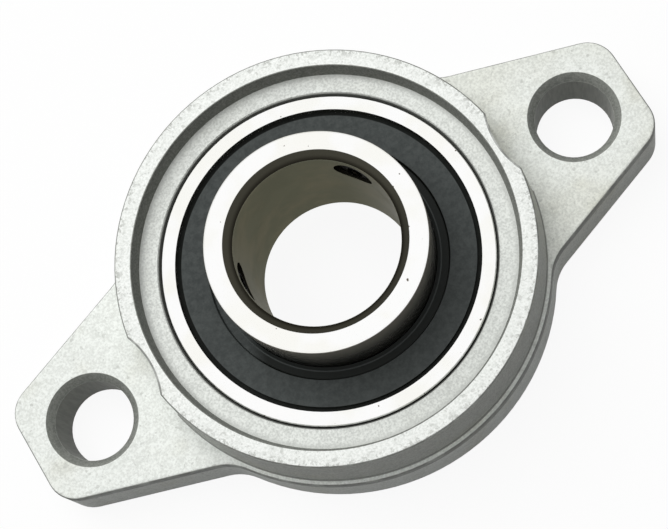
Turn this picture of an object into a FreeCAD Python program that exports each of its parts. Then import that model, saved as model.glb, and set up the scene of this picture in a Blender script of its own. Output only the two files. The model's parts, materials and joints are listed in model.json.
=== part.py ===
import FreeCAD, Part
import math
import os

import Sketcher
from FreeCAD import Placement, Rotation, Vector

# Two-bolt flange bearing unit. Millimetres. The mounting face lies on z = 0, the bore axis is +Z,
# and the two bolt holes lie on the X axis.

doc = FreeCAD.newDocument("flange_bearing_unit")

# Sizes that can be changed on their own
SIZES = {
    "bolt_pitch": 71.0,
    "bolt_hole_radius": 5.0,
    "bolt_mouth_flare": 0.88,
    "bolt_mouth_depth": 1.0,
    "flange_thickness": 8.0,
    "flange_draft": 2.2,
    "bolt_end_margin": 8.85,
    "flange_step": 1.02,
    "flange_edge_round": 0.4,
    "arm_half_width": 10.2,
    "arm_slope": 19.0,
    "arm_corner_radius": 4.2,
    "arm_root_radius": 6.0,
    "housing_height": 16.0,
    "rim_width": 2.11,
    "boss_draft": 0.65,
    "boss_edge_break": 0.2,
    "spanner_room": 5.8,
    "rim_draft": 0.4,
    "ledge_width": 2.22,
    "ledge_depth": 2.35,
    "seat_mouth_inset": 0.3,
    "seat_rear_inset": 0.4,
    "seat_rear_depth": 1.1,
    "seat_mouth_depth": 0.55,
    "seat_clearance": 0.05,
    "seat_drop": 0.25,
    "outer_ring_back": 2.695,
    "outer_ring_width": 11.5,
    "outer_ring_edge_break": 0.15,
    "shaft_radius": 10.0,
    "inner_shoulder_share": 0.32,
    "inner_ring_front": 14.75,
    "inner_ring_rear": 6.25,
    "bore_front_chamfer": 1.05,
    "bore_rear_chamfer": 0.45,
    "inner_ring_edge_break": 0.22,
    "ball_radius": 3.175,
    "groove_floor": 2.325,
    "ball_count": 9,
    "race_clearance": 0.03,
    "race_conformity": 1.04,
    "outer_shoulder_share": 0.4,
    "seal_shelf_width": 1.48,
    "seal_shelf_depth": 1.55,
    "seal_bead_height": 0.4,
    "seal_rim_gap": 0.63,
    "seal_face_depth": 0.55,
    "seal_step_width": 1.61,
    "seal_step_depth": 0.5,
    "seal_lip_width": 0.86,
    "seal_lip_clearance": 0.06,
    "seal_lip_height": 0.35,
    "cage_width_share": 0.44,
    "cage_sheet": 0.45,
    "pocket_clearance": 0.1,
    "rivet_radius": 0.55,
    "rivet_head_radius": 0.95,
    "rivet_head_height": 0.3,
    "rivet_sides": 8,
    "screw_radius": 2.45,
    "screw_fit": 0.05,
    "screw_length": 3.0,
    "screw_inset": 4.5,
    "screw_tip_setback": 0.15,
    "screw_point_chamfer": 0.45,
    "screw_end_chamfer": 0.3,
    "screw_cup_radius": 1.25,
    "screw_cup_depth": 0.5,
    "screw_key_width": 2.5,
    "screw_key_depth": 1.2,
    "screw_azimuth_a": 36.0,
    "screw_azimuth_b": 171.0,
}

# Sizes that follow from the ones above
DERIVED = {
    "zero": "=0",
    "below": "=-1",
    "bolt_x": "=bolt_pitch / 2",
    "bolt_mouth_radius": "=bolt_hole_radius + bolt_mouth_flare",
    "spanner_relief_radius": "=bolt_hole_radius + spanner_room",
    "flange_half_length": "=bolt_x + bolt_end_margin",
    "seat_height": "=housing_height / 2 - seat_drop",
    "inner_ring_radius": "=shaft_radius + groove_floor + inner_shoulder_share * ball_radius",
    "ball_pitch_radius": "=shaft_radius + groove_floor + ball_radius",
    "groove_radius": "=ball_radius * race_conformity",
    "outer_groove_bottom": "=ball_pitch_radius + ball_radius + race_clearance",
    "outer_land_radius": "=ball_pitch_radius + ball_radius * (1 - outer_shoulder_share)",
    "ball_seat_radius": "=outer_groove_bottom + outer_ring_back",
    "seat_mouth_radius": "=ball_seat_radius - seat_mouth_inset",
    "seat_rear_radius": "=ball_seat_radius - seat_rear_inset",
    "ledge_outer_radius": "=seat_mouth_radius + ledge_width",
    "rim_inner_radius": "=ledge_outer_radius + rim_draft",
    "boss_top_radius": "=rim_inner_radius + rim_width",
    "boss_foot_radius": "=boss_top_radius + boss_draft",
    "flange_round_radius": "=boss_foot_radius + flange_step",
    "seal_wall_radius": "=outer_land_radius + seal_shelf_width",
    "seal_rim_radius": "=seal_wall_radius - seal_rim_gap",
    "seal_step_radius": "=inner_ring_radius + seal_step_width",
    "seal_lip_root_radius": "=inner_ring_radius + seal_lip_width",
    "cage_half_width": "=cage_width_share * ball_radius",
    "cage_inner_radius": "=ball_pitch_radius - cage_half_width",
    "cage_outer_radius": "=ball_pitch_radius + cage_half_width",
    "neg_bolt_x": "=-bolt_x",
    "mouth_taper": "=-atan((bolt_mouth_radius - bolt_hole_radius) / bolt_mouth_depth) / 1 deg",
    "flange_taper": "=-flange_draft",
    "mouth_cut_depth": "=bolt_mouth_depth * 1.2",
    "above": "=housing_height + 1",
    "arm_line": "=arm_half_width * cos(arm_slope) + bolt_x * sin(arm_slope)",
    "corner_x": "=flange_half_length - arm_corner_radius",
    "corner_y": "=(arm_line - arm_corner_radius - corner_x * sin(arm_slope)) / cos(arm_slope)",
    "side_x": "=corner_x + arm_corner_radius * sin(arm_slope)",
    "side_y": "=corner_y + arm_corner_radius * cos(arm_slope)",
    "root_reach": "=flange_round_radius + arm_root_radius",
    "root_rise": "=arm_line + arm_root_radius",
    "root_run": "=sqrt(root_reach * root_reach - root_rise * root_rise)",
    "root_x": "=root_rise * sin(arm_slope) + root_run * cos(arm_slope)",
    "root_y": "=root_rise * cos(arm_slope) - root_run * sin(arm_slope)",
    "root_side_x": "=root_x - arm_root_radius * sin(arm_slope)",
    "root_side_y": "=root_y - arm_root_radius * cos(arm_slope)",
    "root_round_x": "=root_x * flange_round_radius / root_reach",
    "root_round_y": "=root_y * flange_round_radius / root_reach",
    "neg_flange_half_length": "=-flange_half_length",
    "neg_corner_x": "=-corner_x",
    "neg_corner_y": "=-corner_y",
    "neg_side_x": "=-side_x",
    "neg_side_y": "=-side_y",
    "neg_root_x": "=-root_x",
    "neg_root_y": "=-root_y",
    "neg_root_side_x": "=-root_side_x",
    "neg_root_side_y": "=-root_side_y",
    "neg_root_round_x": "=-root_round_x",
    "neg_root_round_y": "=-root_round_y",
    "boss_slope": "=(boss_foot_radius - boss_top_radius) / (housing_height - flange_thickness)",
    "boss_base_z": "=flange_thickness / 2",
    "boss_base_radius": "=boss_foot_radius + boss_slope * (flange_thickness - boss_base_z)",
    "boss_side_z": "=housing_height - boss_edge_break",
    "boss_flat_radius": "=boss_top_radius - boss_edge_break",
    "ledge_z": "=housing_height - ledge_depth",
    "seat_radius": "=ball_seat_radius + seat_clearance",
    "seat_neck_rise": "=ledge_z - seat_height - seat_mouth_depth",
    "seat_neck_radius": "=sqrt(seat_radius * seat_radius - seat_neck_rise * seat_neck_rise)",
    "seat_neck_z": "=seat_height + seat_neck_rise",
    "seat_rear_neck": "=sqrt(seat_radius * seat_radius - (seat_height - seat_rear_depth) ^ 2)",
    "half_width": "=outer_ring_width / 2",
    "outer_front_z": "=seat_height + half_width",
    "outer_rear_z": "=seat_height - half_width",
    "outer_edge_rise": "=half_width - outer_ring_edge_break",
    "outer_edge_radius": "=sqrt(ball_seat_radius * ball_seat_radius - outer_edge_rise * outer_edge_rise)",
    "outer_edge_front_z": "=seat_height + outer_edge_rise",
    "outer_edge_rear_z": "=seat_height - outer_edge_rise",
    "outer_face_radius": "=outer_edge_radius - outer_ring_edge_break",
    "shelf_front_z": "=outer_front_z - seal_shelf_depth",
    "shelf_rear_z": "=outer_rear_z + seal_shelf_depth",
    "outer_groove_centre": "=outer_groove_bottom - groove_radius",
    "outer_groove_rise": "=outer_land_radius - outer_groove_centre",
    "outer_groove_half": "=sqrt(groove_radius ^ 2 - outer_groove_rise ^ 2)",
    "outer_groove_front_z": "=seat_height + outer_groove_half",
    "outer_groove_rear_z": "=seat_height - outer_groove_half",
    "inner_groove_bottom": "=ball_pitch_radius - ball_radius - race_clearance",
    "inner_groove_centre": "=inner_groove_bottom + groove_radius",
    "inner_groove_rise": "=inner_groove_centre - inner_ring_radius",
    "inner_groove_half": "=sqrt(groove_radius ^ 2 - inner_groove_rise ^ 2)",
    "inner_groove_front_z": "=seat_height + inner_groove_half",
    "inner_groove_rear_z": "=seat_height - inner_groove_half",
    "inner_front_z": "=seat_height + inner_ring_front",
    "inner_rear_z": "=seat_height - inner_ring_rear",
    "screw_height": "=inner_front_z - screw_inset",
    "bore_front_radius": "=shaft_radius + bore_front_chamfer",
    "bore_front_z": "=inner_front_z - bore_front_chamfer",
    "bore_rear_radius": "=shaft_radius + bore_rear_chamfer",
    "bore_rear_z": "=inner_rear_z + bore_rear_chamfer",
    "inner_face_radius": "=inner_ring_radius - inner_ring_edge_break",
    "inner_edge_front_z": "=inner_front_z - inner_ring_edge_break",
    "inner_edge_rear_z": "=inner_rear_z + inner_ring_edge_break",
    "tapped_radius": "=screw_radius + screw_fit",
    "tapped_reach": "=inner_ring_radius + 2",
    "bead_top_z": "=shelf_front_z + seal_bead_height",
    "seal_face_z": "=outer_front_z - seal_face_depth",
    "seal_low_z": "=seal_face_z - seal_step_depth",
    "seal_foot_radius": "=seal_step_radius - seal_step_depth / 3",
    "seal_lip_radius": "=inner_ring_radius + seal_lip_clearance",
    "seal_lip_back": "=(seal_lip_radius + seal_lip_root_radius) / 2",
    "seal_lip_z": "=seal_low_z + seal_lip_height",
    "seal_lip_low_z": "=(shelf_front_z + seal_low_z) / 2",
    "pocket_inner": "=ball_radius + pocket_clearance",
    "pocket_outer": "=pocket_inner + cage_sheet",
    "pocket_start": "=cage_inner_radius - cage_sheet",
    "pocket_length": "=2 * (cage_half_width + cage_sheet)",
    "arch_length": "=sqrt(cage_outer_radius ^ 2 - pocket_outer ^ 2) - cage_inner_radius",
    "rivet_top": "=cage_sheet + rivet_head_height",
    "rivet_low_z": "=seat_height - rivet_top",
    "rivet_high_z": "=seat_height + cage_sheet",
    "rivet_shank": "=rivet_top + cage_sheet",
    "half_step": "=180 / ball_count",
    "screw_tip_radius": "=shaft_radius + screw_tip_setback",
    "screw_point_radius": "=screw_radius - screw_point_chamfer",
    "screw_end_radius": "=screw_radius - screw_end_chamfer",
    "screw_end_z": "=screw_length - screw_end_chamfer",
    "screw_key_radius": "=screw_key_width / 2 / cos(30)",
}

sheet = doc.addObject("Spreadsheet::Sheet", "Sizes")


def fill_sheet():
    """Write every size into the sheet, one aliased cell to a row."""
    rows = list(SIZES.items()) + list(DERIVED.items())
    for row, (alias, value) in enumerate(rows, start=1):
        sheet.set("A%d" % row, alias)
        sheet.set("B%d" % row, str(value))
        sheet.setAlias("B%d" % row, alias)
    doc.recompute()


def size(alias):
    """The present number behind an alias, for a first guess at a sketch."""
    return float(sheet.get(alias))


def bind(thing, prop, alias):
    """Tie one property of a document object to a cell of the sheet."""
    thing.setExpression(prop, "Sizes." + alias)


def new_body(label):
    """An empty body that will become one node."""
    body = doc.addObject("PartDesign::Body", label)
    body.Label = label
    return body


def origin_plane(body, role):
    """One of the body's own three origin planes."""
    return next(f for f in body.Origin.OriginFeatures if f.Role == role)


def new_sketch(body, name, role, lift=None):
    """A sketch on an origin plane, raised along the plane's normal by an aliased distance."""
    sketch = body.newObject("Sketcher::SketchObject", body.Label + "_" + name)
    sketch.AttachmentSupport = [(origin_plane(body, role), "")]
    sketch.MapMode = "FlatFace"
    if lift:
        bind(sketch, "AttachmentOffset.Base.z", lift)
    doc.recompute()
    return sketch


def place_point(sketch, geo, end, across, up):
    """Hold one end of a line or arc at two aliased coordinates."""
    for kind, alias in (("DistanceX", across), ("DistanceY", up)):
        if size(alias) == 0:
            axis = -2 if kind == "DistanceX" else -1
            sketch.addConstraint(Sketcher.Constraint("PointOnObject", geo, end, axis))
            continue
        index = sketch.addConstraint(Sketcher.Constraint(kind, -1, 1, geo, end, size(alias)))
        bind(sketch, "Constraints[%d]" % index, alias)


def arc_between(first, last, centre, radius, clockwise):
    """The arc from first to last about a centre, and which of its ends is which."""
    start = math.atan2(first.y - centre.y, first.x - centre.x)
    stop = math.atan2(last.y - centre.y, last.x - centre.x)
    circle = Part.Circle(centre, Vector(0, 0, 1), radius)
    if clockwise:
        return Part.ArcOfCircle(circle, stop, start), 2, 1
    return Part.ArcOfCircle(circle, start, stop), 1, 2


def outline(sketch, points, arcs=None):
    """Close a chain of lines and arcs through aliased points.

    arcs maps the number of a stretch to (radius alias, centre, clockwise).
    """
    arcs = arcs or {}
    spots = [Vector(size(a), size(b), 0) for a, b in points]
    ends = []
    for k, first in enumerate(spots):
        last = spots[(k + 1) % len(spots)]
        if k in arcs:
            alias, (across, up), clockwise = arcs[k]
            centre = Vector(size(across), size(up), 0)
            curve, head, tail = arc_between(first, last, centre, size(alias), clockwise)
        else:
            curve, head, tail = Part.LineSegment(first, last), 1, 2
        ends.append((sketch.addGeometry(curve, False), head, tail))
    for k, (geo, head, tail) in enumerate(ends):
        after, after_head, _ = ends[(k + 1) % len(ends)]
        sketch.addConstraint(Sketcher.Constraint("Coincident", geo, tail, after, after_head))
    for k, (across, up) in enumerate(points):
        place_point(sketch, ends[k][0], ends[k][1], across, up)
    for k, (alias, _, _) in arcs.items():
        radius = Sketcher.Constraint("Radius", ends[k][0], size(alias))
        bind(sketch, "Constraints[%d]" % sketch.addConstraint(radius), alias)
    doc.recompute()


def circle_at(sketch, across, up, radius, guide=False):
    """A circle with an aliased centre and radius, or a construction circle of that size."""
    middle = Vector(size(across), size(up), 0)
    geo = sketch.addGeometry(Part.Circle(middle, Vector(0, 0, 1), size(radius)), guide)
    place_point(sketch, geo, 3, across, up)
    index = sketch.addConstraint(Sketcher.Constraint("Radius", geo, size(radius)))
    bind(sketch, "Constraints[%d]" % index, radius)
    return geo


def polygon_at(sketch, sides, across, radius):
    """A regular polygon about a point of the sketch's x axis, with its first corner on that axis."""
    guide = circle_at(sketch, across, "zero", radius, guide=True)
    corners = []
    for k in range(sides):
        turned = math.radians(360 / sides * k)
        offset = Vector(math.cos(turned), math.sin(turned), 0) * size(radius)
        corners.append(offset + Vector(size(across), 0, 0))
    edges = []
    for k, corner in enumerate(corners):
        edges.append(sketch.addGeometry(Part.LineSegment(corner, corners[(k + 1) % sides]), False))
    for k, edge in enumerate(edges):
        sketch.addConstraint(Sketcher.Constraint("Coincident", edge, 2, edges[(k + 1) % sides], 1))
        sketch.addConstraint(Sketcher.Constraint("PointOnObject", edge, 1, guide))
        if k:
            sketch.addConstraint(Sketcher.Constraint("Equal", edges[0], edge))
    sketch.addConstraint(Sketcher.Constraint("PointOnObject", edges[0], 1, -1))
    doc.recompute()


def turn(body, kind, sketch):
    """Revolve a half-section about the body's Z axis: Revolution adds, Groove cuts."""
    feature = body.newObject("PartDesign::" + kind, sketch.Label + "_" + kind.lower())
    feature.Profile = sketch
    feature.ReferenceAxis = (sketch, ["V_Axis"])
    feature.Angle = 360
    sketch.Visibility = False
    doc.recompute()
    return feature


def extrude(body, kind, sketch, length=None, taper=None, reverse=False):
    """Pad or Pocket a sketch by an aliased length, or right through."""
    feature = body.newObject("PartDesign::" + kind, sketch.Label + "_" + kind.lower())
    feature.Profile = sketch
    feature.Reversed = reverse
    if length:
        bind(feature, "Length", length)
    else:
        feature.Type = "ThroughAll"
    if taper:
        bind(feature, "TaperAngle", taper)
    sketch.Visibility = False
    doc.recompute()
    return feature


fill_sheet()
count = int(SIZES["ball_count"])
rivet_sides = int(SIZES["rivet_sides"])

# Housing: the drafted boss, its two spanner reliefs, the rhombic flange, the seat and the bolt holes
housing = new_body("housing")
boss = new_sketch(housing, "boss", "XZ_Plane")
outline(boss, [
    ("zero", "boss_base_z"),
    ("boss_base_radius", "boss_base_z"),
    ("boss_top_radius", "boss_side_z"),
    ("boss_flat_radius", "housing_height"),
    ("zero", "housing_height"),
])
turn(housing, "Revolution", boss)

relief = new_sketch(housing, "relief", "XY_Plane", lift="above")
for bolt in ("bolt_x", "neg_bolt_x"):
    circle_at(relief, bolt, "zero", "spanner_relief_radius")
extrude(housing, "Pocket", relief)


def quarter(sx, sy):
    """Alias names of one quarter of the flange outline, with the signs of that quarter."""
    def pair(name):
        return (sx + name + "_x", sy + name + "_y")
    corner = (sx + "flange_half_length", sy + "corner_y")
    return [corner, pair("side"), pair("root_side"), pair("root_round")], pair("corner"), pair("root")


plate = new_sketch(housing, "plate", "XY_Plane")
plate_points = []
plate_arcs = {}
for sx, sy, outward in (("", "", True), ("neg_", "", False), ("neg_", "neg_", True), ("", "neg_", False)):
    spots, corner_centre, root_centre = quarter(sx, sy)
    start = len(plate_points)
    plate_points += spots if outward else spots[::-1]
    first_arc, last_arc = (0, 2) if outward else (2, 0)
    plate_arcs[start + first_arc] = ("arm_corner_radius", corner_centre, False)
    plate_arcs[start + last_arc] = ("arm_root_radius", root_centre, True)
    if outward:
        plate_arcs[start + 3] = ("flange_round_radius", ("zero", "zero"), False)
outline(plate, plate_points, plate_arcs)
flange = extrude(housing, "Pad", plate, length="flange_thickness", taper="flange_taper")


def flange_rim(shape):
    """Names of the top edges that border one of the flange's own side walls."""
    top = size("flange_thickness")
    names = []
    for k, edge in enumerate(shape.Edges, start=1):
        box = edge.BoundBox
        if abs(box.ZMin - top) > 1e-6 or abs(box.ZMax - top) > 1e-6:
            continue
        walls = [face.BoundBox for face in shape.ancestorsOfType(edge, Part.Face)]
        if any(abs(wall.ZMin) < 1e-6 and abs(wall.ZMax - top) < 1e-6 for wall in walls):
            names.append("Edge%d" % k)
    return names


rim = housing.newObject("PartDesign::Fillet", "housing_rim")
rim.Base = (flange, flange_rim(flange.Shape))
bind(rim, "Radius", "flange_edge_round")
doc.recompute()

seat = new_sketch(housing, "seat", "XZ_Plane")
outline(seat, [
    ("zero", "below"),
    ("seat_rear_radius", "below"),
    ("seat_rear_radius", "zero"),
    ("seat_rear_neck", "seat_rear_depth"),
    ("seat_neck_radius", "seat_neck_z"),
    ("seat_mouth_radius", "ledge_z"),
    ("ledge_outer_radius", "ledge_z"),
    ("rim_inner_radius", "housing_height"),
    ("rim_inner_radius", "above"),
    ("zero", "above"),
], {3: ("seat_radius", ("zero", "seat_height"), False)})
turn(housing, "Groove", seat)

holes = new_sketch(housing, "holes", "XY_Plane", lift="above")
mouths = new_sketch(housing, "mouths", "XY_Plane", lift="flange_thickness")
for bolt in ("bolt_x", "neg_bolt_x"):
    circle_at(holes, bolt, "zero", "bolt_hole_radius")
    circle_at(mouths, bolt, "zero", "bolt_mouth_radius")
extrude(housing, "Pocket", holes)
extrude(housing, "Pocket", mouths, length="mouth_cut_depth", taper="mouth_taper")

# Outer ring: a spherical back in the housing seat, the ball groove and a shelf for each seal
outer_ring = new_body("outer_ring")
section = new_sketch(outer_ring, "section", "XZ_Plane")
outline(section, [
    ("outer_face_radius", "outer_rear_z"),
    ("outer_edge_radius", "outer_edge_rear_z"),
    ("outer_edge_radius", "outer_edge_front_z"),
    ("outer_face_radius", "outer_front_z"),
    ("seal_wall_radius", "outer_front_z"),
    ("seal_wall_radius", "shelf_front_z"),
    ("outer_land_radius", "shelf_front_z"),
    ("outer_land_radius", "outer_groove_front_z"),
    ("outer_land_radius", "outer_groove_rear_z"),
    ("outer_land_radius", "shelf_rear_z"),
    ("seal_wall_radius", "shelf_rear_z"),
    ("seal_wall_radius", "outer_rear_z"),
], {
    1: ("ball_seat_radius", ("zero", "seat_height"), False),
    7: ("groove_radius", ("outer_groove_centre", "seat_height"), True),
})
turn(outer_ring, "Revolution", section)

# Inner ring: longer towards the front, with two tapped holes in the part that stands clear
inner_ring = new_body("inner_ring")
section = new_sketch(inner_ring, "section", "XZ_Plane")
outline(section, [
    ("shaft_radius", "bore_rear_z"),
    ("bore_rear_radius", "inner_rear_z"),
    ("inner_face_radius", "inner_rear_z"),
    ("inner_ring_radius", "inner_edge_rear_z"),
    ("inner_ring_radius", "inner_groove_rear_z"),
    ("inner_ring_radius", "inner_groove_front_z"),
    ("inner_ring_radius", "inner_edge_front_z"),
    ("inner_face_radius", "inner_front_z"),
    ("bore_front_radius", "inner_front_z"),
    ("shaft_radius", "bore_front_z"),
], {4: ("groove_radius", ("inner_groove_centre", "seat_height"), True)})
turn(inner_ring, "Revolution", section)
for letter in "ab":
    tapped = new_sketch(inner_ring, "tapped_" + letter, "YZ_Plane")
    tapped.AttachmentOffset = Placement(Vector(0, 0, 0), Rotation(Vector(0, 1, 0), 1))
    tapped.setExpression("AttachmentOffset.Rotation.Angle", "Sizes.screw_azimuth_%s * 1 deg" % letter)
    circle_at(tapped, "zero", "screw_height", "tapped_radius")
    extrude(inner_ring, "Pocket", tapped, length="tapped_reach", reverse=True)

# Seals: a bead on the outer ring's shelf, a flat face, a step down and a lip at the inner ring
front_seal = new_body("front_seal")
section = new_sketch(front_seal, "section", "XZ_Plane")
outline(section, [
    ("seal_lip_root_radius", "shelf_front_z"),
    ("seal_wall_radius", "shelf_front_z"),
    ("seal_wall_radius", "bead_top_z"),
    ("seal_rim_radius", "bead_top_z"),
    ("seal_rim_radius", "seal_face_z"),
    ("seal_step_radius", "seal_face_z"),
    ("seal_foot_radius", "seal_low_z"),
    ("seal_lip_back", "seal_low_z"),
    ("seal_lip_radius", "seal_lip_z"),
    ("seal_lip_radius", "seal_lip_low_z"),
])
turn(front_seal, "Revolution", section)


def mirrored(label, source):
    """The same piece on the other side of the ball plane."""
    twin = doc.addObject("Part::Mirroring", label)
    twin.Label = label
    twin.Source = source
    twin.Normal = Vector(0, 0, 1)
    bind(twin, "Base.z", "seat_height")
    return twin


rear_seal = mirrored("rear_seal", front_seal)


def ball_at(label, k):
    """One ball, at its own share of a turn round the ball circle."""
    ball = doc.addObject("Part::Sphere", label)
    ball.Label = label
    bind(ball, "Radius", "ball_radius")
    angle = "(%d * 360 / Sizes.ball_count)" % k
    ball.setExpression("Placement.Base.x", "Sizes.ball_pitch_radius * cos(%s)" % angle)
    ball.setExpression("Placement.Base.y", "Sizes.ball_pitch_radius * sin(%s)" % angle)
    bind(ball, "Placement.Base.z", "seat_height")
    return ball


def cylinder(label, radius, height):
    """An upright cylinder that starts in the ball plane."""
    column = doc.addObject("Part::Cylinder", label)
    bind(column, "Radius", radius)
    bind(column, "Height", height)
    bind(column, "Placement.Base.z", "seat_height")
    return column


def joined(label, pieces):
    """One shape from several."""
    whole = doc.addObject("Part::MultiFuse", label)
    whole.Shapes = pieces
    return whole


def cut(label, base, tool):
    """One shape less another."""
    rest = doc.addObject("Part::Cut", label)
    rest.Label = label
    rest.Base = base
    rest.Tool = tool
    return rest


def washer(label, height):
    """The flat ring that the cage is pressed from, as high as asked for."""
    whole = cylinder(label + "_whole", "cage_outer_radius", height)
    hole = cylinder(label + "_hole", "cage_inner_radius", height)
    return cut(label, whole, hole)


def barrel(label, radius, start, length, k):
    """A cylinder lying over one ball, along a radius of the ball circle."""
    arch = cylinder(label, radius, length)
    turned = "(%d * 360 / Sizes.ball_count)" % k
    arch.setExpression(
        "Placement",
        "create(<<placement>>; "
        "create(<<vector>>; Sizes.{1} * cos({0}); Sizes.{1} * sin({0}); Sizes.seat_height); "
        "create(<<rotation>>; create(<<vector>>; -sin({0}); cos({0}); 0); 90))".format(turned, start),
    )
    return arch


def rivet_hole(label, k):
    """The hole for one rivet, halfway between two balls and turned with the rivet."""
    hole = doc.addObject("Part::Prism", label)
    bind(hole, "Polygon", "rivet_sides")
    bind(hole, "Circumradius", "rivet_radius")
    bind(hole, "Height", "cage_sheet")
    hole.Placement = Placement(Vector(0, 0, 0), Rotation(Vector(0, 0, 1), 1))
    angle = "(%d * 360 / Sizes.ball_count + Sizes.half_step)" % k
    hole.setExpression("Placement.Rotation.Angle", angle + " * 1 deg")
    hole.setExpression("Placement.Base.x", "Sizes.ball_pitch_radius * cos(%s)" % angle)
    hole.setExpression("Placement.Base.y", "Sizes.ball_pitch_radius * sin(%s)" % angle)
    bind(hole, "Placement.Base.z", "seat_height")
    return hole


balls = [ball_at("ball_%d" % (k + 1), k) for k in range(count)]

# Cage: two pressed ribbons, an arched pocket over every ball, flats riveted together between them
arches = []
pockets = []
for k in range(count):
    arches.append(barrel("cage_arch_%d" % k, "pocket_outer", "cage_inner_radius", "arch_length", k))
    pockets.append(barrel("cage_pocket_%d" % k, "pocket_inner", "pocket_start", "pocket_length", k))
crowns = doc.addObject("Part::Common", "cage_crowns")
crowns.Base = joined("cage_arches", arches)
crowns.Tool = cylinder("cage_upper_half", "cage_outer_radius", "pocket_outer")
ribbon = joined("cage_ribbon", [washer("cage_flats", "cage_sheet"), crowns])
rivet_holes = [rivet_hole("cage_hole_%d" % k, k) for k in range(count)]
cage_front = cut("cage_front", ribbon, joined("cage_openings", pockets + rivet_holes))
cage_rear = mirrored("cage_rear", cage_front)
doc.recompute()

# Rivets: one modelled with its two heads, then turned about the axis
cage_rivets = new_body("cage_rivets")
shares = []
for name, lift, radius, length in (
    ("low_head", "rivet_low_z", "rivet_head_radius", "rivet_head_height"),
    ("shank", "rivet_low_z", "rivet_radius", "rivet_shank"),
    ("high_head", "rivet_high_z", "rivet_head_radius", "rivet_head_height"),
):
    disc = new_sketch(cage_rivets, name, "XY_Plane", lift=lift)
    polygon_at(disc, rivet_sides, "ball_pitch_radius", radius)
    shares.append(extrude(cage_rivets, "Pad", disc, length=length))
around = cage_rivets.newObject("PartDesign::PolarPattern", "cage_rivets_around")
around.Originals = shares
around.Axis = (shares[0].Profile[0], ["N_Axis"])
around.Angle = 360
bind(around, "Occurrences", "ball_count")
cage_rivets.Tip = around
cage_rivets.Placement = Placement(Vector(0, 0, 0), Rotation(Vector(0, 0, 1), 1))
cage_rivets.setExpression("Placement.Rotation.Angle", "Sizes.half_step * 1 deg")
doc.recompute()


def set_screw(label, azimuth):
    """A cup-point screw with a hexagon socket, lying on a radius of the inner ring."""
    body = new_body(label)
    half = new_sketch(body, "section", "XZ_Plane")
    outline(half, [
        ("zero", "screw_cup_depth"),
        ("screw_cup_radius", "zero"),
        ("screw_point_radius", "zero"),
        ("screw_radius", "screw_point_chamfer"),
        ("screw_radius", "screw_end_z"),
        ("screw_end_radius", "screw_length"),
        ("zero", "screw_length"),
    ])
    turn(body, "Revolution", half)
    socket = new_sketch(body, "socket", "XY_Plane", lift="screw_length")
    polygon_at(socket, 6, "zero", "screw_key_radius")
    extrude(body, "Pocket", socket, length="screw_key_depth")
    body.setExpression(
        "Placement",
        "create(<<placement>>; "
        "create(<<vector>>; Sizes.screw_tip_radius * cos(Sizes.{0}); "
        "Sizes.screw_tip_radius * sin(Sizes.{0}); Sizes.screw_height); "
        "create(<<rotation>>; create(<<vector>>; -sin(Sizes.{0}); cos(Sizes.{0}); 0); 90))".format(azimuth),
    )
    doc.recompute()
    return body


screws = [
    set_screw("set_screw_1", "screw_azimuth_a"),
    set_screw("set_screw_2", "screw_azimuth_b"),
]

# Every object is tested before the nodes are written
doc.recompute()
for thing in doc.Objects:
    if "Invalid" in thing.State or "Error" in thing.State:
        raise RuntimeError("%s did not recompute: %s" % (thing.Label, thing.State))

nodes = [housing, outer_ring, inner_ring, front_seal, rear_seal, cage_front, cage_rear, cage_rivets]
os.makedirs("parts", exist_ok=True)
for node in nodes + balls + screws:
    if node.Shape.isNull() or not node.Shape.isValid():
        raise RuntimeError("%s has no valid shape" % node.Label)
    node.Shape.exportStep("parts/%s.step" % node.Label)
    print(node.Label, len(node.Shape.Solids), round(node.Shape.Volume, 2))
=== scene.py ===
# %% [markdown]
# # A two-bolt flange bearing, finished in Blender
#
# The CAD model already holds every piece at its real size: a cast housing, a ball bearing insert with two
# ground rings and two rubber seals, and two set screws. This file gives those pieces their finish, cuts
# real threads on the screws, and lights the part like a product on a white table. Loading comes first,
# because every later step measures the frame instead of repeating numbers.

# %% Open the frame
import json
import math

import bpy
from mathutils import Matrix, Vector


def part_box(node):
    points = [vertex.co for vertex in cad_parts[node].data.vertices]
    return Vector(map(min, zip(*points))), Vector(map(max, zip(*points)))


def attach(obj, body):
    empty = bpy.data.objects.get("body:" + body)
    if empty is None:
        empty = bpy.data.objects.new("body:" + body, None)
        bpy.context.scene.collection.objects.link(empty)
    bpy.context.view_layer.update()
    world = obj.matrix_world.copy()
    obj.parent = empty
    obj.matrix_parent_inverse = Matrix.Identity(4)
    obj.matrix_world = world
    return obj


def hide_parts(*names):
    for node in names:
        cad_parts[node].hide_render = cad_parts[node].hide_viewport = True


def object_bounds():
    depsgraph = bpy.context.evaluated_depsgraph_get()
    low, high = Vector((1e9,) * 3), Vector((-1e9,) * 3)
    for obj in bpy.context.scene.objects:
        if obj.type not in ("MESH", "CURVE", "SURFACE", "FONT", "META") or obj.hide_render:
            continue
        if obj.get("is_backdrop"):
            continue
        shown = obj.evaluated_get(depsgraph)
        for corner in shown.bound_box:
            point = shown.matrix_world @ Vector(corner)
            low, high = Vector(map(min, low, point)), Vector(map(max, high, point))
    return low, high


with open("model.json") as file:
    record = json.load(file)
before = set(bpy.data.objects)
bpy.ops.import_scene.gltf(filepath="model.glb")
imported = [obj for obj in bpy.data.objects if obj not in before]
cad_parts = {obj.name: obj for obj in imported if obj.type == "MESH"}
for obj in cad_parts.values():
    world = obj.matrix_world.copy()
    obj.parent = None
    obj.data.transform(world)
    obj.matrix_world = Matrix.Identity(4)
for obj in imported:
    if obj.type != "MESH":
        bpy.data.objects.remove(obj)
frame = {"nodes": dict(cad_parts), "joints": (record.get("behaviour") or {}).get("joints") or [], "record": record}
cad_low, cad_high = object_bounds()
nodes = frame["nodes"]
joints = {joint["name"]: joint for joint in frame["joints"]}
mounts = {mount["name"]: mount for mount in frame["record"]["mounts"]}
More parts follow.
